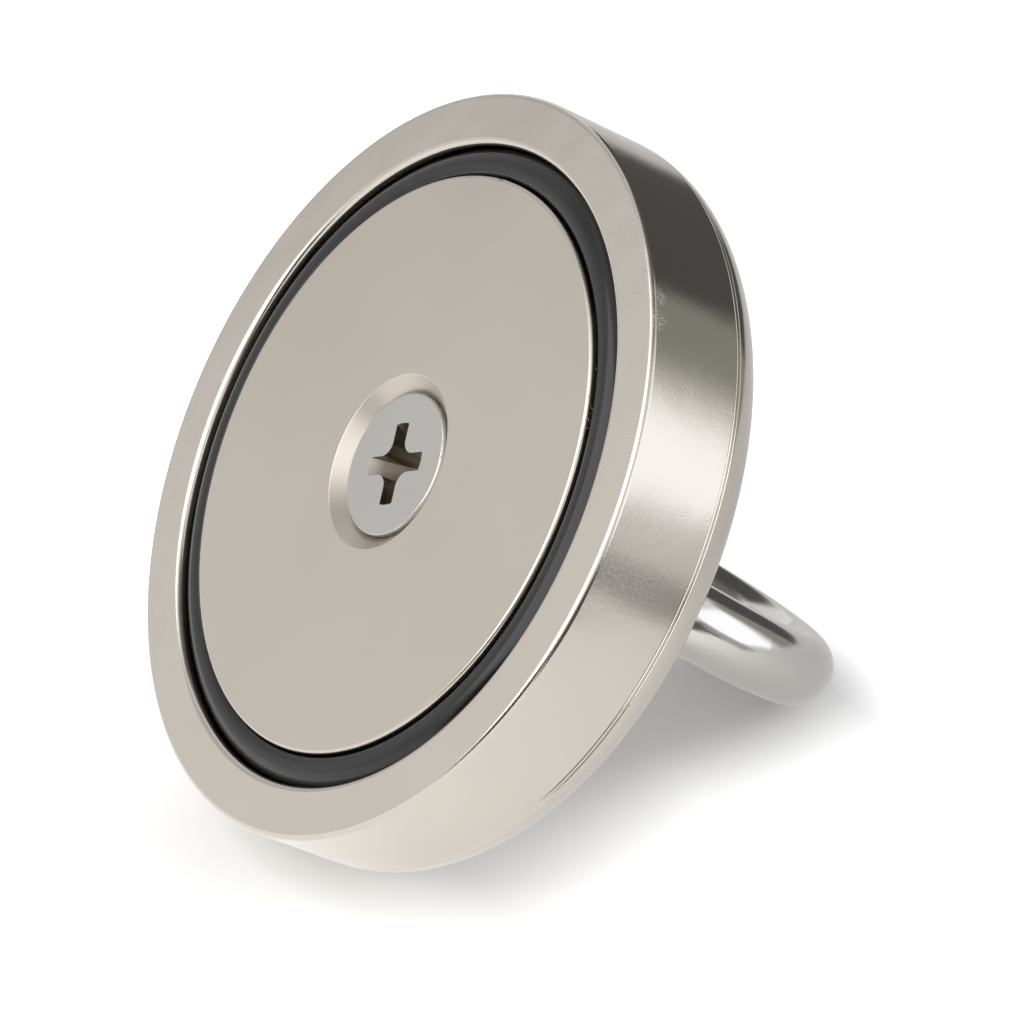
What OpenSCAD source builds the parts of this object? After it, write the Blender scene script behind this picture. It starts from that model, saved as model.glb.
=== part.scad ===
// A round retrieval magnet: a disc magnet held in a steel cup by one screw,
// with an eye nut at the back. It lies as it comes to rest, leaning back
// on the cup's rounded edge and the far end of the eye.

/* [Magnet] */
// Diameter of the magnet disc
magnet_d = 62; // [56:0.5:70]
// Thickness of the magnet disc
magnet_h = 10.5; // [9:0.1:14]
// Rounding of the magnet's two outer edges
magnet_edge_r = 0.4; // [0.1:0.05:0.6]
// Rounding of the countersink's mouth
mouth_edge_r = 0.15; // [0.05:0.05:0.3]

/* [Cup] */
// Width of the groove between the magnet and the cup's rim
groove_w = 3.4; // [2.6:0.1:5]
// Width of the cup's rim
rim_w = 5.6; // [4:0.1:9]
// Thickness of the cup's base behind the magnet
base_h = 6; // [5:0.1:10]
// Rounding of the rim's outer front edge
front_edge_r = 0.6; // [0.1:0.05:0.8]
// Rounding of the rim's inner front edge
rim_inner_r = 0.7; // [0.1:0.05:0.9]
// Rounding between the side wall and the back
back_edge_r = 5.5; // [1:0.1:7]
// Width of each of the two fine lines turned into the wall where the rounding starts
turned_line_w = 0.18; // [0.1:0.02:0.3]
// Depth of the turned lines
turned_line_depth = 0.12; // [0.05:0.01:0.2]
// Distance from the start of the rounding to the first turned line
turned_line_start = 0.2; // [0:0.05:0.5]
// Distance from one turned line to the next
turned_line_pitch = 0.45; // [0.35:0.05:0.8]

/* [Spacer ring] */
// Depth of the ring's crowned top below the magnet's face
spacer_sink = 0.3; // [0.1:0.05:1]
// Radius of the crown across the ring's top
spacer_crown_r = 2.4; // [2:0.1:4]
// Rounding of the ring's two shoulders
spacer_edge_r = 0.7; // [0.3:0.05:0.9]
// Clearance of the ring to the magnet and to the cup
spacer_gap = 0.08; // [0.03:0.01:0.15]

/* [Screw] */
// Diameter of the screw's shank
screw_d = 8; // [6:0.5:9]
// Diameter of the countersunk head
head_d = 15.4; // [14:0.1:18]
// Height of the head's cylindrical rim above its cone
head_land = 0.75; // [0.5:0.05:1]
// Depth of the head below the magnet's face
head_sink = 0.9; // [0.5:0.05:1.5]
// Rounding of the head's rim
head_edge_r = 0.25; // [0.1:0.05:0.4]
// Width across the cross recess, from wing end to wing end
recess_span = 8.8; // [7:0.1:9]
// Width of one wing of the cross recess
recess_wing_w = 2; // [1.4:0.1:2.2]
// Rounding between two wings of the cross recess
recess_corner_r = 1.5; // [0.5:0.1:1.6]
// Depth of the cross recess
recess_depth = 4; // [2.5:0.1:4.5]
// How much the wings' ends close in for each millimetre of depth
recess_slope = 0.5; // [0.3:0.05:0.6]
// Diameter of the drill point at the bottom of the recess
recess_point_d = 2.8; // [1.6:0.1:3]
// Turn of the cross recess about the screw's axis
recess_turn = 64; // [0:1:89]
// Clearance around the shank in the magnet, the cup and the washer
hole_gap = 0.25; // [0.15:0.05:0.5]
// Clearance between the head's cone and its seat
seat_gap = 0.03; // [0.01:0.01:0.1]
// Distance from the screw's tip to the top of the eye nut's hub
tip_gap = 1.6; // [0.5:0.1:2.5]

/* [Lock washer] */
// Thickness of the split lock washer
washer_h = 2; // [1.5:0.1:3]
// Radial width of the washer's section
washer_w = 3; // [2:0.1:3.5]
// Width of the washer's split
washer_split = 0.8; // [0.4:0.1:1.5]

/* [Eye nut] */
// Diameter of the round bar of the eye
bar_d = 8; // [7:0.1:10]
// Inner diameter of the eye
eye_d = 22; // [20:0.5:30]
// Height of the eye's outer edge above the nut's seat
neck_h = 2.8; // [1:0.1:5]
// Diameter of the collar
collar_d = 20; // [18:0.5:24]
// Thickness of the collar
collar_h = 3; // [2:0.1:4]
// Wall of the hub around the threaded hole
hub_wall = 2.4; // [2:0.1:3]
// Rounding between the collar and the hub
hub_corner_r = 2.8; // [1:0.1:3]
// Rounding of the collar's edge
collar_edge_r = 0.8; // [0.2:0.1:1]
// Height of the hub above the eye's inner edge
hub_proud = 0.6; // [0.3:0.1:1.5]
// Radius of the hub's rounded top, across the eye
hub_crest_r = 7; // [6.8:0.1:9]
// Clearance between the screw's thread and the nut's
thread_gap = 0.05; // [0.02:0.01:0.1]
// Lean of the eye away from the cup's axis, towards the floor
eye_lean = 3.5; // [0:0.5:6]

/* [Hidden] */
$fn = 128;

// Every piece is drawn about the axis Z, with the magnet's face at z = 0
// and the eye at the far end, and rest() then leans it on the floor.
magnet_r = magnet_d / 2;
groove_r = magnet_r + groove_w;
cup_r = groove_r + rim_w;
cup_h = magnet_h + base_h;
shank_r = screw_d / 2;
hole_r = shank_r + hole_gap;
head_r = head_d / 2;
mouth_r = head_r + head_sink + head_land + seat_gap * sqrt(2);
nut_seat_z = cup_h + washer_h;
bar_r = bar_d / 2;
eye_mid_r = eye_d / 2 + bar_r;
eye_rise = neck_h + bar_d + eye_d / 2;
hub_r = shank_r + thread_gap + hub_wall;
hub_h = neck_h + bar_d + hub_proud;
screw_end_z = nut_seat_z + hub_h - tip_gap;
eps = 0.01;

// The floor touches the rounded back edge and the far end of the eye.
// lean_back is how far the axis then dips below the horizontal.
eye_reach = eye_rise + eye_mid_r;
lean_a = cup_r - back_edge_r - eye_reach * sin(eye_lean);
lean_b = back_edge_r + washer_h + eye_reach * cos(eye_lean);
lean_back = acos((bar_r - back_edge_r) / norm([lean_a, lean_b])) - atan2(lean_b, lean_a);
eye_dip = lean_back + eye_lean;

// The origin is under the middle of the part's length along Y.
face_z = (cup_r - back_edge_r) * cos(lean_back) + (cup_h - back_edge_r) * sin(lean_back) + back_edge_r;
front_y = (cup_r - front_edge_r) * sin(lean_back) + front_edge_r - front_edge_r * cos(lean_back);
back_y = nut_seat_z * cos(lean_back) + eye_reach * cos(eye_dip) + bar_r;
face_y = (front_y - back_y) / 2;

module rest() {
    translate([0, face_y, face_z])
        rotate([-90 - lean_back, 0, 0])
            children();
}

// A rectangle from x0, y0 to x1, y1
module box2(x0, y0, x1, y1) {
    translate([x0, y0])
        square([x1 - x0, y1 - y0]);
}

// What turns a square corner at p into a round one, for use with difference():
// dir points from the corner into the material
module corner_cut(p, dir, r) {
    translate(p)
        towards(dir)
            difference() {
                translate([-eps, -eps])
                    square(r + eps);
                translate([r, r])
                    circle(r);
            }
}

// Mirrors its children so that they lie towards dir
module towards(dir) {
    mirror([dir[0] < 0 ? 1 : 0, 0])
        mirror([0, dir[1] < 0 ? 1 : 0])
            children();
}

module cup_profile() {
    difference() {
        box2(hole_r, 0, cup_r, cup_h);
        box2(0, -eps, groove_r, magnet_h);
        corner_cut([groove_r, 0], [1, 1], rim_inner_r);
        corner_cut([cup_r, 0], [-1, 1], front_edge_r);
        corner_cut([cup_r, cup_h], [-1, -1], back_edge_r);
        for (i = [0, 1])
            turned_line(turned_line_start + i * turned_line_pitch);
    }
}

// Radius of the rounded back edge, s behind where the rounding starts
function back_edge_at(s) = cup_r - back_edge_r + sqrt(pow(back_edge_r, 2) - pow(s, 2));

// A fine groove with sloping sides, s behind where the rounding starts
module turned_line(s) {
    half_w = turned_line_w / 2;
    translate([0, cup_h - back_edge_r])
        polygon([
            [back_edge_at(s - half_w) + eps, s - half_w],
            [back_edge_at(s) - turned_line_depth, s],
            [back_edge_at(s + half_w) + eps, s + half_w]
        ]);
}

module cup() {
    color([0.75, 0.73, 0.70])
        rest()
            rotate_extrude()
                cup_profile();
}

module magnet_profile() {
    // Where the cone of the countersink meets the straight hole
    cone_end_z = mouth_r - hole_r;
    // The mouth's rounding touches the face and the cone this far from their corner
    reach = mouth_edge_r * tan(22.5);
    difference() {
        union() {
            polygon([
                [hole_r, magnet_h],
                [hole_r, cone_end_z],
                [mouth_r - reach * cos(45), reach * sin(45)],
                [mouth_r + reach, 0],
                [magnet_r, 0],
                [magnet_r, magnet_h]
            ]);
            translate([mouth_r + reach, mouth_edge_r])
                circle(mouth_edge_r);
        }
        corner_cut([magnet_r, 0], [-1, 1], magnet_edge_r);
        corner_cut([magnet_r, magnet_h], [-1, -1], magnet_edge_r);
    }
}

module magnet() {
    color([0.74, 0.70, 0.66])
        rest()
            rotate_extrude()
                magnet_profile();
}

// The ring's top: a shallow crown that runs smoothly into the round shoulders.
// The shoulders' middles lie on the lines from the crown's middle to its two ends.
module spacer_profile() {
    inner_r = magnet_r + spacer_gap;
    outer_r = groove_r - spacer_gap;
    middle_r = (inner_r + outer_r) / 2;
    shoulder_x = (outer_r - inner_r) / 2 - spacer_edge_r;
    crown_z = spacer_sink + spacer_crown_r;
    shoulder_z = crown_z - sqrt(pow(spacer_crown_r - spacer_edge_r, 2) - pow(shoulder_x, 2));
    box2(inner_r, shoulder_z, outer_r, magnet_h);
    for (side = [-1, 1])
        translate([middle_r + side * shoulder_x, shoulder_z])
            circle(spacer_edge_r);
    intersection() {
        translate([middle_r, crown_z])
            circle(spacer_crown_r);
        // The crown's sector: from its middle past its two ends
        polygon([
            [middle_r, crown_z],
            [middle_r - 2 * shoulder_x, 2 * shoulder_z - crown_z],
            [middle_r + 2 * shoulder_x, 2 * shoulder_z - crown_z]
        ]);
    }
}

// Fills the groove down to the cup's base
module spacer_ring() {
    color([0.14, 0.14, 0.14])
        rest()
            rotate_extrude()
                spacer_profile();
}

// Outline of the cross recess: two crossed slots with rounded inner corners
module recess_outline() {
    half_w = recess_wing_w / 2;
    for (turn = [0, 90])
        rotate(turn)
            square([recess_span * 2, recess_wing_w], center = true);
    for (turn = [0 : 90 : 270])
        rotate(turn)
            translate([half_w, half_w])
                corner_cut([0, 0], [1, 1], recess_corner_r);
}

// The wings narrow towards the bottom as the driver's point does
module recess() {
    mouth_end_r = recess_span / 2;
    bottom_end_r = mouth_end_r - recess_depth * recess_slope;
    point_r = recess_point_d / 2;
    translate([0, 0, head_sink])
        rotate(recess_turn)
            intersection() {
                translate([0, 0, -head_sink])
                    linear_extrude(head_sink + recess_depth)
                        recess_outline();
                translate([0, 0, -head_sink])
                    cylinder(
                        h = head_sink + recess_depth,
                        r1 = mouth_end_r + head_sink * recess_slope,
                        r2 = bottom_end_r
                    );
            }
    translate([0, 0, head_sink + recess_depth - eps])
        cylinder(h = point_r, r1 = point_r, r2 = eps);
}

module screw_profile() {
    cone_z = head_sink + head_land;
    shank_z = cone_z + head_r - shank_r;
    tip_chamfer = screw_d / 10;
    difference() {
        polygon([
            [0, head_sink],
            [head_r, head_sink],
            [head_r, cone_z],
            [shank_r, shank_z],
            [shank_r, screw_end_z - tip_chamfer],
            [shank_r - tip_chamfer, screw_end_z],
            [0, screw_end_z]
        ]);
        corner_cut([head_r, head_sink], [-1, 1], head_edge_r);
    }
}

module screw() {
    color([0.72, 0.72, 0.72])
        rest()
            difference() {
                rotate_extrude()
                    screw_profile();
                recess();
            }
}

module lock_washer() {
    split_slant = 25;
    color([0.60, 0.60, 0.60])
        rest()
            translate([0, 0, cup_h])
                difference() {
                    cylinder(h = washer_h, r = hole_r + washer_w);
                    translate([0, 0, -eps])
                        cylinder(h = washer_h + 2 * eps, r = hole_r);
                    translate([hole_r + washer_w / 2, 0, washer_h / 2])
                        rotate([split_slant, 0, 0])
                            cube([washer_w * 2, washer_split, washer_h * 2], center = true);
                }
}

// Collar and hub of the eye nut, from its seat at z = 0
module nut_profile() {
    collar_r = collar_d / 2;
    difference() {
        union() {
            box2(0, 0, collar_r, collar_h);
            box2(0, 0, hub_r, hub_h + bar_d);
            corner_cut([hub_r, collar_h], [1, 1], hub_corner_r);
        }
        corner_cut([collar_r, collar_h], [-1, -1], collar_edge_r);
        corner_cut([collar_r, 0], [-1, 1], collar_edge_r / 2);
    }
}

// A round bar bent to a ring about the middle of the eye
module eye_ring(inner_r, section_r) {
    rotate([-eye_lean, 0, 0])
        translate([0, 0, eye_rise])
            rotate([90, 0, 0])
                rotate_extrude()
                    translate([inner_r + section_r, 0])
                        circle(section_r);
}

// The hub ends in a rounded crest, which follows the eye's opening
module hub() {
    crest_inner_r = eye_d / 2 - hub_proud;
    crest_z = eye_rise - crest_inner_r - hub_crest_r;
    intersection() {
        rotate_extrude()
            nut_profile();
        union() {
            eye_ring(crest_inner_r, hub_crest_r);
            translate([0, 0, -eps])
                cylinder(h = crest_z, r = collar_d);
        }
    }
}

module eye_nut() {
    color([0.70, 0.70, 0.68])
        rest()
            translate([0, 0, nut_seat_z])
                difference() {
                    union() {
                        hub();
                        eye_ring(eye_d / 2, bar_r);
                    }
                    translate([0, 0, -eps])
                        cylinder(h = hub_h + collar_h, r = shank_r + thread_gap);
                }
}

cup();
magnet();
spacer_ring();
screw();
lock_washer();
eye_nut();
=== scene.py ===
"""A fishing magnet at rest on a pale floor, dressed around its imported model.

Lengths are in metres. The turned pieces are drawn about their own axis, with the magnet's face at
z = 0 and the eye at the far end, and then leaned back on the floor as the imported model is.
"""

import math

import bpy
from mathutils import Euler, Matrix, Quaternion, Vector


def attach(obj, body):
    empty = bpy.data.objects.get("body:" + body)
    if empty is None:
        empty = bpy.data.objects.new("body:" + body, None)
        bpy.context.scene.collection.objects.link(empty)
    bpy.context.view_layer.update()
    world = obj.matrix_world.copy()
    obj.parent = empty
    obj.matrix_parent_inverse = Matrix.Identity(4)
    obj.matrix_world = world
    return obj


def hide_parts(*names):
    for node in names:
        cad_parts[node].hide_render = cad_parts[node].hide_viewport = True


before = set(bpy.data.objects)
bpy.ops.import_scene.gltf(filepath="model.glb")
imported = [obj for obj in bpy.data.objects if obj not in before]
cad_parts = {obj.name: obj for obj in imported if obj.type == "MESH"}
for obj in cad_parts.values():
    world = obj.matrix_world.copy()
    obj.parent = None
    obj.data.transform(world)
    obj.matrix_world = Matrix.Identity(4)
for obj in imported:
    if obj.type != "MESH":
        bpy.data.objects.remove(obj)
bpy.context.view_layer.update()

MM = 0.001

# Sizes shared with the model, by the names that they have there
magnet_r = 31 * MM
magnet_h = 10.5 * MM
magnet_edge_r = 0.4 * MM
mouth_edge_r = 0.15 * MM
groove_r = 34.4 * MM
cup_r = 40 * MM
cup_h = 16.5 * MM
front_edge_r = 0.6 * MM
rim_inner_r = 0.7 * MM
back_edge_r = 5.5 * MM
turned_line_w = 0.18 * MM
turned_line_depth = 0.12 * MM
turned_lines = (0.2 * MM, 0.65 * MM)
hole_r = 4.25 * MM
mouth_r = 9.39 * MM
spacer_sink = 0.3 * MM
spacer_crown_r = 2.4 * MM
spacer_edge_r = 0.7 * MM
spacer_gap = 0.08 * MM
washer_h = 2 * MM
bar_r = 4 * MM
eye_mid_r = 15 * MM
eye_rise = 21.8 * MM
eye_lean = math.radians(3.5)

# How far the drawn cup keeps inside the solid, whose facets cut a little off its round
facet_gap = 0.005 * MM
# The photograph shows the ring's highlight nearer to the magnet than the middle of the crown
crest_shift = 0.4 * MM

# How far the axis dips below the horizontal, from the two places where the part touches the floor
eye_reach = eye_rise + eye_mid_r
lean_a = cup_r - back_edge_r - eye_reach * math.sin(eye_lean)
lean_b = back_edge_r + washer_h + eye_reach * math.cos(eye_lean)
lean_back = math.acos((bar_r - back_edge_r) / math.hypot(lean_a, lean_b)) - math.atan2(lean_b, lean_a)

# Where that puts the middle of the magnet's face, with the origin under the middle of the length
along, down = math.cos(lean_back), math.sin(lean_back)
front_y = (cup_r - front_edge_r) * down + front_edge_r * (1 - along)
back_y = (cup_h + washer_h) * along + eye_reach * math.cos(lean_back + eye_lean) + bar_r
face_z = (cup_r - back_edge_r) * along + (cup_h - back_edge_r) * down + back_edge_r
face_at = Vector((0, (front_y - back_y) / 2, face_z))
LEAN = Euler((-math.pi / 2 - lean_back, 0, 0))
REST = Matrix.Translation(face_at) @ LEAN.to_matrix().to_4x4()

# The middle of the object, which the camera, the softboxes and the flags face
middle = Vector((0, 0, 35 * MM))


def direction(azimuth, elevation):
    """A unit vector: azimuth 0 is -Y and 90 is +X, elevation is above the horizon, in degrees."""
    a, e = math.radians(azimuth), math.radians(elevation)
    return Vector((math.sin(a) * math.cos(e), -math.cos(a) * math.cos(e), math.sin(e)))


class Nodes:
    """A short way to write a material's or the world's nodes."""

    def __init__(self, owner):
        owner.use_nodes = True
        self.tree = owner.node_tree
        self.tree.nodes.clear()

    def add(self, kind, inputs=(), **settings):
        node = self.tree.nodes.new(kind)
        for name, value in settings.items():
            setattr(node, name, value)
        for name, value in dict(inputs).items():
            if isinstance(value, bpy.types.NodeSocket):
                self.tree.links.new(value, node.inputs[name])
            else:
                node.inputs[name].default_value = value
        return node

    def math(self, operation, a, b=0.0, c=0.0):
        node = self.add("ShaderNodeMath", {0: a, 1: b, 2: c}, operation=operation)
        return node.outputs[0]

    def mix(self, factor, a, b):
        node = self.add("ShaderNodeMix", data_type="RGBA")
        sockets = {"Factor": factor, "A": a, "B": b}
        for name, value in sockets.items():
            socket = [s for s in node.inputs if s.name == name and s.enabled][0]
            if isinstance(value, bpy.types.NodeSocket):
                self.tree.links.new(value, socket)
            else:
                socket.default_value = value
        return [s for s in node.outputs if s.enabled][0]

    def noise(self, vector, scale, detail=3.0, roughness=0.5):
        inputs = {"Vector": vector, "Scale": scale, "Detail": detail, "Roughness": roughness}
        return self.add("ShaderNodeTexNoise", inputs).outputs["Fac"]

    def spread(self, value, from_low, from_high, to_low, to_high, how="LINEAR"):
        """The value taken from one range to another, and held at its ends."""
        names = ("Value", "From Min", "From Max", "To Min", "To Max")
        inputs = zip(names, (value, from_low, from_high, to_low, to_high))
        return self.add("ShaderNodeMapRange", inputs, interpolation_type=how).outputs["Result"]

    def surface(self, shader):
        self.add("ShaderNodeOutputMaterial", {"Surface": shader.outputs[0]})

    def separate(self, vector):
        return self.add("ShaderNodeSeparateXYZ", {"Vector": vector}).outputs

    def object_place(self):
        return self.add("ShaderNodeTexCoord").outputs["Object"]

    def own_axes(self):
        """The point in the turned pieces' own axes: the vector, x, y, z, and how far it is off the axis."""
        inputs = {"Vector": self.object_place(), "Location": face_at, "Rotation": LEAN}
        turned = self.add("ShaderNodeMapping", inputs, vector_type="TEXTURE").outputs["Vector"]
        part = self.separate(turned)
        across = self.math("MULTIPLY", part["X"], part["X"])
        radius = self.math("SQRT", self.math("MULTIPLY_ADD", part["Y"], part["Y"], across))
        return turned, part["X"], part["Y"], part["Z"], radius

    def bump(self, height, distance, normal=None):
        inputs = {"Height": height, "Distance": distance, "Strength": 1.0}
        if normal is not None:
            inputs["Normal"] = normal
        return self.add("ShaderNodeBump", inputs).outputs["Normal"]


def grey(value):
    return (value, value, value, 1.0)


# Meshes of the turned pieces


def straight(start, end):
    """A straight stretch of a profile: its points, each with the normal on its outer side."""
    (r0, z0), (r1, z1) = start, end
    length = math.hypot(r1 - r0, z1 - z0)
    normal = ((z1 - z0) / length, -(r1 - r0) / length)
    return [((r0, z0), normal), ((r1, z1), normal)]


def arc(centre, radius, first, last, steps=10):
    """A round stretch of a profile, with angles in degrees from the outward direction."""
    points = []
    for i in range(steps + 1):
        a = math.radians(first + (last - first) * i / steps)
        out = (math.cos(a), math.sin(a))
        points.append(((centre[0] + radius * out[0], centre[1] + radius * out[1]), out))
    return points


def lathe(name, stretches, turns=360):
    """A closed turned piece whose profile runs with the material on its left."""
    verts, faces, normals = [], [], []
    around = [2 * math.pi * i / turns for i in range(turns)]
    ring_at = {}

    def ring(point):
        """The first vertex of the ring at a point of the profile. Stretches that meet share a ring."""
        key = (round(point[0] * 1e7), round(point[1] * 1e7))
        if key not in ring_at:
            ring_at[key] = len(verts)
            verts.extend((point[0] * math.cos(a), point[0] * math.sin(a), point[1]) for a in around)
        return ring_at[key]

    for stretch in stretches:
        for (p, pn), (q, qn) in zip(stretch, stretch[1:]):
            low, high = ring(p), ring(q)
            for i in range(turns):
                j = (i + 1) % turns
                faces.append((low + i, low + j, high + j, high + i))
                for n, k in ((pn, i), (pn, j), (qn, j), (qn, i)):
                    normals.append((n[0] * math.cos(around[k]), n[0] * math.sin(around[k]), n[1]))
    piece = mesh_object(name, [REST @ Vector(v) for v in verts], faces)
    mesh = piece.data
    mesh.polygons.foreach_set("use_smooth", [True] * len(mesh.polygons))
    turn = REST.to_3x3()
    mesh.normals_split_custom_set([turn @ Vector(n) for n in normals])
    mesh.update()
    return piece


def mesh_object(name, verts, faces):
    mesh = bpy.data.meshes.new(name)
    mesh.from_pydata(verts, [], faces)
    piece = bpy.data.objects.new(name, mesh)
    bpy.context.scene.collection.objects.link(piece)
    return piece


def sheet(name, width, height):
    """A flat rectangle in its own XY plane, centred."""
    w, h = width / 2, height / 2
    return mesh_object(name, [(-w, -h, 0), (w, -h, 0), (w, h, 0), (-w, h, 0)], [(0, 1, 2, 3)])


def dress(piece, material, node):
    """Puts a new piece in the place of a node of the model."""
    piece.data.materials.append(material)
    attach(piece, "root")
    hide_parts(node)


def paint(node, material):
    """Gives a node of the model a finer material."""
    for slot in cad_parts[node].material_slots:
        slot.material = material


# Materials

# The darkest tone of a plate beside its own colour
dim_share = 0.95
dull_roughness = 0.42
grain_height = 0.01 * MM


def near(n, turned, x, y, z, reach):
    """1 at a place on the turned pieces, falling to 0 at the given reach. All are in millimetres."""
    place = (x * MM, y * MM, z * MM)
    far = n.add("ShaderNodeVectorMath", {0: turned, 1: place}, operation="DISTANCE").outputs["Value"]
    return n.spread(far, 0.3 * reach * MM, reach * MM, 1.0, 0.0)


def specks(n, vector, scale, share, spots):
    """Sharp specks of noise inside the spots, over about that share of them."""
    noise = n.noise(vector, scale, 4.0, 0.65)
    return n.math("MULTIPLY", n.spread(noise, 0.62 - 0.3 * share, 0.66 - 0.3 * share, 0.0, 1.0), spots)


def plated_metal(name, colour, roughness, grain, ring_lines, wave=0.0, wear_and_painted_light=None):
    """Plate with a fine pitted grain, faint turning lines, a slight wave and slow changes of tone.

    A function may be given for wear and painted light. It gets the nodes and the own axes, and returns the
    area of wear, painted shade and painted reflection, the colour there, the height of the marks in
    millimetres, and further dull areas.
    """
    material = bpy.data.materials.new(name)
    n = Nodes(material)
    turned, x, y, z, radius = n.own_axes()
    slow = n.noise(turned, 35.0, 2.0)
    fine = n.noise(turned, 3200.0, 4.0, 0.6)
    lines_at = n.add("ShaderNodeCombineXYZ", {"X": radius, "Y": 0.0, "Z": z}).outputs["Vector"]
    lines = n.noise(lines_at, 5200.0, 3.0, 0.7)
    dim = tuple(c * dim_share for c in colour) + (1.0,)
    tone = n.mix(n.spread(slow, 0.35, 0.65, 0.0, 1.0), dim, colour + (1.0,))
    rough = n.spread(slow, 0.3, 0.7, roughness * 0.85, roughness * 1.15)
    height = n.math("MULTIPLY_ADD", lines, ring_lines, n.math("MULTIPLY", fine, grain))
    normal = n.bump(height, grain_height)
    if wave:
        normal = n.bump(n.noise(turned, 160.0, 2.0, 0.4), wave * MM, normal=normal)
    if wear_and_painted_light:
        # Marks: real wear, and on the screw and the magnet also painted shade and a painted reflection
        marked, mark_colour, dent, *dull = wear_and_painted_light(n, turned, x, y, z, radius)
        tone = n.mix(marked, tone, mark_colour + (1.0,))
        for area in [marked] + dull:
            rough = n.math("MAXIMUM", rough, n.math("MULTIPLY", area, dull_roughness))
        normal = n.bump(marked, dent * MM, normal=normal)
    inputs = {"Base Color": tone, "Metallic": 1.0, "Roughness": rough, "Normal": normal}
    n.surface(n.add("ShaderNodeBsdfPrincipled", inputs))
    return material


def nickel_cup():
    def scuffs(n, turned, x, y, z, radius):
        """Short scratches on the front edge at the upper right, and fine pits in the wall below."""
        stretch = {"Vector": turned, "Scale": (1.0, 1.0, 0.45)}
        stretched = n.add("ShaderNodeMapping", stretch).outputs["Vector"]
        upper = near(n, turned, 27.1, -29.3, 0.9, 1.3)
        lower = near(n, turned, 29.0, -27.4, 0.5, 1.5)
        off_face = n.spread(z, 0.1 * MM, 0.3 * MM, 0.0, 1.0)
        spots = n.math("MULTIPLY", n.math("MAXIMUM", upper, lower), off_face)
        on_wall = n.spread(z, 0.5 * MM, 0.7 * MM, 0.0, 1.0)
        below = n.math("MULTIPLY", near(n, turned, 39.3, -6.5, 2.5, 10.0), on_wall)
        pits = n.math("MULTIPLY", specks(n, turned, 7500.0, 0.2, below), 0.25)
        marked = n.math("MAXIMUM", specks(n, stretched, 6500.0, 0.3, spots), pits)
        return marked, (0.66, 0.63, 0.58), 0.012

    return plated_metal("nickel_cup", (0.57, 0.53, 0.475), 0.11, 0.8, 0.06, 0.05, scuffs)


def nickel_magnet():
    def painted_reflection_and_nick(n, turned, x, y, z, radius):
        """A painted dark brown reflection in specks along the disc's side at the right, a nick at the top,
        and dull in the cone.
        """
        right = n.spread(n.math("ABSOLUTE", n.math("ADD", y, 20.0 * MM)), 4 * MM, 7 * MM, 1.0, 0.0)
        off_face = n.spread(z, 0.1 * MM, 0.25 * MM, 0.0, 1.0)
        side = n.math("MULTIPLY", off_face, n.spread(x, 15 * MM, 16 * MM, 0.0, 1.0))
        cone = n.spread(radius, 9.3 * MM, 9.5 * MM, 1.0, 0.0)
        # The strip is a painted reflection, darker and browner than the plate
        painted_reflection_strip = specks(n, turned, 900.0, 0.9, n.math("MULTIPLY", right, side))
        nick = near(n, turned, -5.4, -30.6, 0.1, 0.7)
        return n.math("MAXIMUM", painted_reflection_strip, nick), (0.30, 0.26, 0.22), 0.06, cone

    return plated_metal("nickel_magnet", (0.556, 0.512, 0.455), 0.2, 0.5, 0.08, 0.0, painted_reflection_and_nick)


def zinc_screw():
    def recess(n, turned, x, y, z, radius):
        """Painted shade: the recess is dull inside and painted darker and browner, more so towards its
        bottom.
        """
        # Painted shade, deeper towards the bottom of the recess
        inside = n.spread(z, 0.93 * MM, 1.0 * MM, 0.0, 0.45)
        inside = n.math("ADD", inside, n.spread(z, 1.1 * MM, 2.4 * MM, 0.0, 0.55))
        in_reach = n.spread(radius, 4.4 * MM, 4.6 * MM, 1.0, 0.0)
        return n.math("MULTIPLY", inside, in_reach), (0.34, 0.3, 0.25), 0.0

    return plated_metal("zinc_screw", (0.51, 0.495, 0.47), 0.22, 0.8, 0.1, 0.0, recess)


def black_ring():
    """Glossy black, with a fine grain and slow changes of gloss."""
    material = bpy.data.materials.new("glossy_black")
    n = Nodes(material)
    turned = n.own_axes()[0]
    slow = n.noise(turned, 120.0, 3.0)
    fine = n.noise(turned, 2500.0, 4.0, 0.6)
    tone = n.mix(slow, grey(0.005), grey(0.01))
    rough = n.spread(slow, 0.3, 0.7, 0.14, 0.2)
    inputs = {"Base Color": tone, "Roughness": rough, "IOR": 1.45, "Normal": n.bump(fine, 0.004 * MM)}
    n.surface(n.add("ShaderNodeBsdfPrincipled", inputs))
    return material


# The turned pieces


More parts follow.
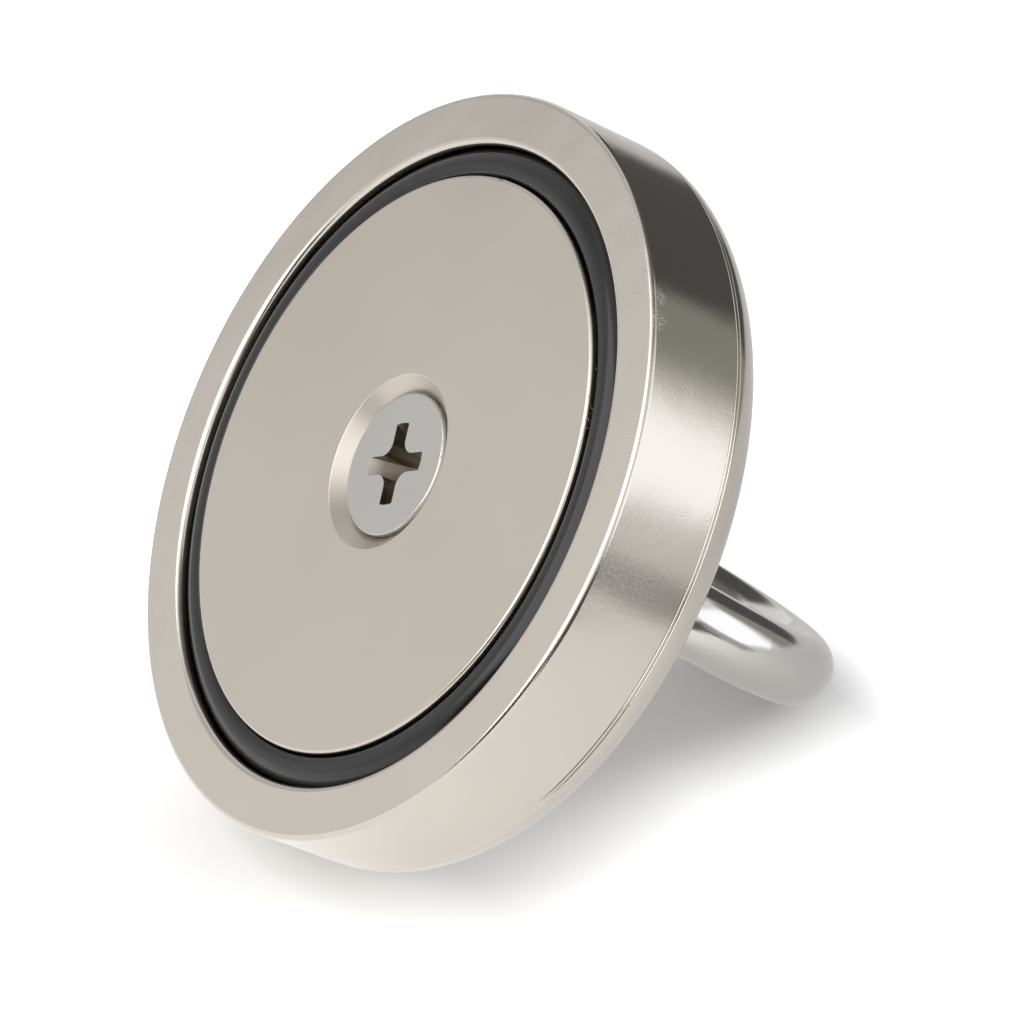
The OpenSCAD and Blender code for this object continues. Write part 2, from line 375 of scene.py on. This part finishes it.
def cup():
    """The cup, with its rounded rim and the two fine lines turned where the back starts to round."""
    wall_r = cup_r - facet_gap
    back_r, back_z = wall_r - back_edge_r, cup_h - back_edge_r

    def on_back(s):
        return (back_r + math.sqrt(back_edge_r**2 - s**2), back_z + s)

    stretches = [
        straight((hole_r, magnet_h), (groove_r, magnet_h)),
        straight((groove_r, magnet_h), (groove_r, rim_inner_r)),
        arc((groove_r + rim_inner_r, rim_inner_r), rim_inner_r, 180, 270),
        straight((groove_r + rim_inner_r, 0), (wall_r - front_edge_r, 0)),
        arc((wall_r - front_edge_r, front_edge_r), front_edge_r, -90, 0),
        straight((wall_r, front_edge_r), (wall_r, back_z)),
    ]
    # The base of the recess faces the other way
    stretches[0] = [(p, (0, -1)) for p, _ in stretches[0]]
    turned_to = 0.0
    half = turned_line_w / 2
    for s in turned_lines:
        first, last = (math.degrees(math.asin((s + side) / back_edge_r)) for side in (-half, half))
        stretches.append(arc((back_r, back_z), back_edge_r, turned_to, first, 3))
        bottom = (on_back(s)[0] - turned_line_depth, back_z + s)
        stretches.append(straight(on_back(s - half), bottom))
        stretches.append(straight(bottom, on_back(s + half)))
        turned_to = last
    stretches += [
        arc((back_r, back_z), back_edge_r, turned_to, 90, 24),
        straight((back_r, cup_h), (hole_r, cup_h)),
        straight((hole_r, cup_h), (hole_r, magnet_h)),
    ]
    piece = lathe("cup_turned", stretches)
    dress(piece, nickel_cup(), "cup")


def magnet():
    """The disc, with its hole, the countersink of 90 degrees and the rounded mouth of that."""
    cone_end_z = mouth_r - hole_r
    reach = mouth_edge_r * math.tan(math.radians(22.5))
    mouth_start = reach * math.sin(math.pi / 4)
    stretches = [
        straight((hole_r, magnet_h), (hole_r, cone_end_z)),
        straight((hole_r, cone_end_z), (mouth_r - mouth_start, mouth_start)),
        arc((mouth_r + reach, mouth_edge_r), mouth_edge_r, -135, -90, 6),
        straight((mouth_r + reach, 0), (magnet_r - magnet_edge_r, 0)),
        arc((magnet_r - magnet_edge_r, magnet_edge_r), magnet_edge_r, -90, 0),
        straight((magnet_r, magnet_edge_r), (magnet_r, magnet_h - magnet_edge_r)),
        arc((magnet_r - magnet_edge_r, magnet_h - magnet_edge_r), magnet_edge_r, 0, 90),
        straight((magnet_r - magnet_edge_r, magnet_h), (hole_r, magnet_h)),
    ]
    piece = lathe("magnet_disc", stretches)
    dress(piece, nickel_magnet(), "magnet")


def spacer_ring():
    """The black ring: a shallow crown that runs smoothly into two round shoulders."""
    inner_r = magnet_r + spacer_gap
    outer_r = groove_r - spacer_gap
    crown_r = (inner_r + outer_r) / 2 - crest_shift
    crown_z = spacer_sink + spacer_crown_r
    stretches = [straight((inner_r, magnet_h), (inner_r, magnet_h / 2))]
    crown_from = 180
    for shoulder_r in (inner_r + spacer_edge_r, outer_r - spacer_edge_r):
        across = shoulder_r - crown_r
        shoulder_z = crown_z - math.sqrt((spacer_crown_r - spacer_edge_r) ** 2 - across**2)
        turn = 270 + math.degrees(math.atan2(across, crown_z - shoulder_z))
        if across < 0:
            stretches.append(straight((inner_r, magnet_h / 2), (inner_r, shoulder_z)))
            stretches.append(arc((shoulder_r, shoulder_z), spacer_edge_r, 180, turn, 8))
            crown_from = turn
        else:
            stretches.append(arc((crown_r, crown_z), spacer_crown_r, crown_from, turn, 16))
            stretches.append(arc((shoulder_r, shoulder_z), spacer_edge_r, turn, 360, 8))
            stretches.append(straight((outer_r, shoulder_z), (outer_r, magnet_h)))
    stretches.append(straight((outer_r, magnet_h), (inner_r, magnet_h)))
    piece = lathe("spacer_moulded", stretches)
    dress(piece, black_ring(), "spacer_ring")


cup()
magnet()
spacer_ring()
paint("screw", zinc_screw())
paint("lock_washer", plated_metal("plain_washer", (0.5, 0.5, 0.5), 0.3, 1.0, 0.1))
paint("eye_nut", plated_metal("polished_eye", (0.60, 0.585, 0.555), 0.13, 0.3, 0.0, 0.03))


# Studio

floor_size = 8.0
# How far to the right of the object the low flags stand
low_flags_x = 85 * MM


def card(name, place, facing, width, height, fades, colour, strength):
    """A lit card that fades out towards its left, right, bottom and top edges, by those widths.

    Where the strength is a pair, the second number is what the reflections show.
    """
    piece = sheet(name, width, height)
    piece.location = place
    piece.rotation_mode = "QUATERNION"
    piece.rotation_quaternion = facing.to_track_quat("Z", "Y")
    material = bpy.data.materials.new(name)
    n = Nodes(material)
    part = n.separate(n.object_place())
    edges = [("X", 1, width), ("X", -1, width), ("Y", 1, height), ("Y", -1, height)]
    shown = 1.0
    for (axis, side, size), fade in zip(edges, fades):
        inside = n.math("MULTIPLY_ADD", part[axis], side, size / 2)
        shown = n.math("MULTIPLY", n.spread(inside, 0.0, fade, 0.0, 1.0, "SMOOTHSTEP"), shown)
    if isinstance(strength, tuple):
        lighting, mirrored = strength
        is_glossy = n.add("ShaderNodeLightPath").outputs["Is Glossy Ray"]
        strength = n.spread(is_glossy, 0.0, 1.0, lighting, mirrored)
    light = n.add("ShaderNodeEmission", {"Color": colour, "Strength": strength})
    clear = n.add("ShaderNodeBsdfTransparent")
    n.surface(n.add("ShaderNodeMixShader", {"Fac": shown, 1: clear.outputs[0], 2: light.outputs[0]}))
    piece.data.materials.append(material)
    piece.visible_camera = False
    piece.visible_shadow = False
    return piece


def round_card(name, azimuths, elevations, distance, fades, colour, strength):
    """A card that faces the object and spans these angles from its middle; fades are in degrees."""
    azimuth, elevation = sum(azimuths) / 2, sum(elevations) / 2
    out = direction(azimuth, elevation)
    half_turn = math.radians(azimuths[1] - azimuths[0]) / 2
    across = math.cos(math.radians(elevation)) * math.sin(half_turn)
    width = 2 * distance * across / math.sqrt(1 - across**2)
    height = 2 * distance * math.tan(math.radians(elevations[1] - elevations[0]) / 2)
    fades = [distance * math.radians(f) for f in fades]
    return card(name, middle + out * distance, out, width, height, fades, colour, strength)


def flag(name, azimuths, elevations, distance, fades, colour):
    """A dull card that only the reflections show. It takes no light from the object."""
    piece = round_card(name, azimuths, elevations, distance, fades, colour, 1.0)
    piece.visible_diffuse = False


def low_flag(name, y, z, roll, width, height, fades, tone):
    """A flag that stands close to the cup's right side and faces along X, turned in its own plane.

    Its lengths are in millimetres and its roll is in degrees.
    """
    place = Vector((low_flags_x, y * MM, z * MM))
    fades = [f * MM for f in fades]
    piece = card(name, place, Vector((1, 0, 0)), width * MM, height * MM, fades, grey(tone), 1.0)
    piece.rotation_quaternion = piece.rotation_quaternion @ Quaternion((0, 0, 1), math.radians(roll))
    piece.visible_diffuse = False


def high_flag(name):
    """A wide dull flag above the eye, which lies level."""
    place = Vector((0, 0.17, 0.62))
    fades = (0.15, 0.15, 0.06, 0.2)
    piece = card(name, place, Vector((0, 0, 1)), 0.7, 0.56, fades, grey(0.22), 1.0)
    piece.visible_diffuse = False


def seen_directly(n):
    """1 for camera, glossy and transmission rays, and 0 for the rest."""
    path = n.add("ShaderNodeLightPath").outputs
    seen = n.math("MAXIMUM", path["Is Camera Ray"], path["Is Glossy Ray"])
    return n.math("MAXIMUM", seen, path["Is Transmission Ray"])


def floor():
    """A white floor with a painted shadow. Its own glow is least under the object and grows away from it,
    in the shape of the shadow, on top of the shadow that the lights cast.
    """
    piece = sheet("floor", floor_size, floor_size)
    material = bpy.data.materials.new("white_floor_painted_shadow")
    n = Nodes(material)
    part = n.separate(n.object_place())
    # Painted shadow: under the object's back the floor's glow is least. The painted shadow is long in front
    # of that, short to the sides, and ends just behind the eye
    behind = n.math("SUBTRACT", part["Y"], 18 * MM)
    past_eye = n.math("MULTIPLY", n.math("SUBTRACT", part["Y"], 32 * MM), 4.0)
    along = n.math("MAXIMUM", n.math("MULTIPLY", behind, -0.4), n.math("MULTIPLY", behind, 0.6))
    along = n.math("MAXIMUM", along, past_eye)
    across = n.math("ADD", part["X"], 2 * MM)
    across = n.math("MULTIPLY", across, n.spread(part["Y"], -15 * MM, 12 * MM, 0.8, 1.7))
    reach = n.math("SQRT", n.math("MULTIPLY_ADD", along, along, n.math("MULTIPLY", across, across)))
    painted_shadow_glow = n.spread(reach, 10 * MM, 44 * MM, 0.12, 0.75, "SMOOTHSTEP")
    # Painted reflection: in what the metal mirrors, the floor glows brightest in front and dimmer behind
    mirrored = n.spread(part["Y"], -30 * MM, 75 * MM, 0.55, 0.1)
    is_glossy = n.add("ShaderNodeLightPath").outputs["Is Glossy Ray"]
    painted_shadow_glow = n.math("MULTIPLY_ADD", is_glossy, n.math("SUBTRACT", mirrored, painted_shadow_glow), painted_shadow_glow)
    lit = n.add("ShaderNodeBsdfDiffuse", {"Color": (0.825, 0.82, 0.815, 1.0)})
    strength = n.math("MULTIPLY", seen_directly(n), painted_shadow_glow)
    glow = n.add("ShaderNodeEmission", {"Color": grey(1.0), "Strength": strength})
    n.surface(n.add("ShaderNodeAddShader", {0: lit.outputs[0], 1: glow.outputs[0]}))
    piece.data.materials.append(material)


def surroundings(level):
    """White where it is seen or mirrored, and a plain soft light on everything else."""
    world = bpy.data.worlds.new("studio")
    n = Nodes(world)
    strength = n.spread(seen_directly(n), 0.0, 1.0, level, 1.0)
    light = n.add("ShaderNodeBackground", {"Color": grey(1.0), "Strength": strength})
    n.add("ShaderNodeOutputWorld", {"Surface": light.outputs[0]})
    bpy.context.scene.world = world


floor()
surroundings(0.45)

# Each span is in azimuth and elevation. The spans come from what each place on the metal mirrors
round_card("softbox_front", (-43, 54), (12, 72), 0.8, (6, 5, 5, 6), grey(1.0), (2.2, 2.5))
round_card("softbox_right", (92, 156), (-7, 40), 0.6, (5, 13, 5, 6), (0.96, 0.99, 1.04, 1.0), 1.72)
flag("flag_back", (170, 239), (-8, 75), 0.45, (7, 9, 3, 35), grey(0.105))
flag("flag_side", (149, 190), (-4, 42), 0.55, (14, 2, 3, 10), (0.35, 0.36, 0.33, 1.0))
flag("flag_right", (56, 99), (-12, 16), 0.3, (6, 6, 2, 6), grey(0.12))
flag("flag_face", (-105, -53), (-5, 60), 3.0, (10, 10, 3, 10), grey(0.7))
flag("flag_front", (2, 58), (-10, 13), 0.25, (4, 4, 2, 3), grey(0.12))
low_flag("flag_low", -15, 26, 0, 54, 35, (8, 6, 7, 7), 0.12)
low_flag("flag_stripe", 31, 14, -43, 66, 23, (4, 9, 9, 9), 0.46)
high_flag("flag_above")


# Camera


def camera():
    """The photograph's view: a long lens, high on the right of the magnet's face."""
    azimuth, elevation, roll = 64.734, 26.801, -6.1
    distance = 577.7 * MM
    aim = Vector((7.73 * MM, -1.43 * MM, 33.7 * MM))
    data = bpy.data.cameras.new("camera")
    data.lens = 200
    data.sensor_width = 36
    data.clip_start = 0.05
    piece = bpy.data.objects.new("camera", data)
    bpy.context.scene.collection.objects.link(piece)
    back = direction(azimuth, elevation)
    level = back.to_track_quat("Z", "Y").to_matrix()
    turned = level @ Matrix.Rotation(math.radians(roll), 3, "Z")
    piece.matrix_world = Matrix.Translation(aim + back * distance) @ turned.to_4x4()
    bpy.context.scene.camera = piece


camera()
bpy.context.scene.view_settings.view_transform = "Standard"
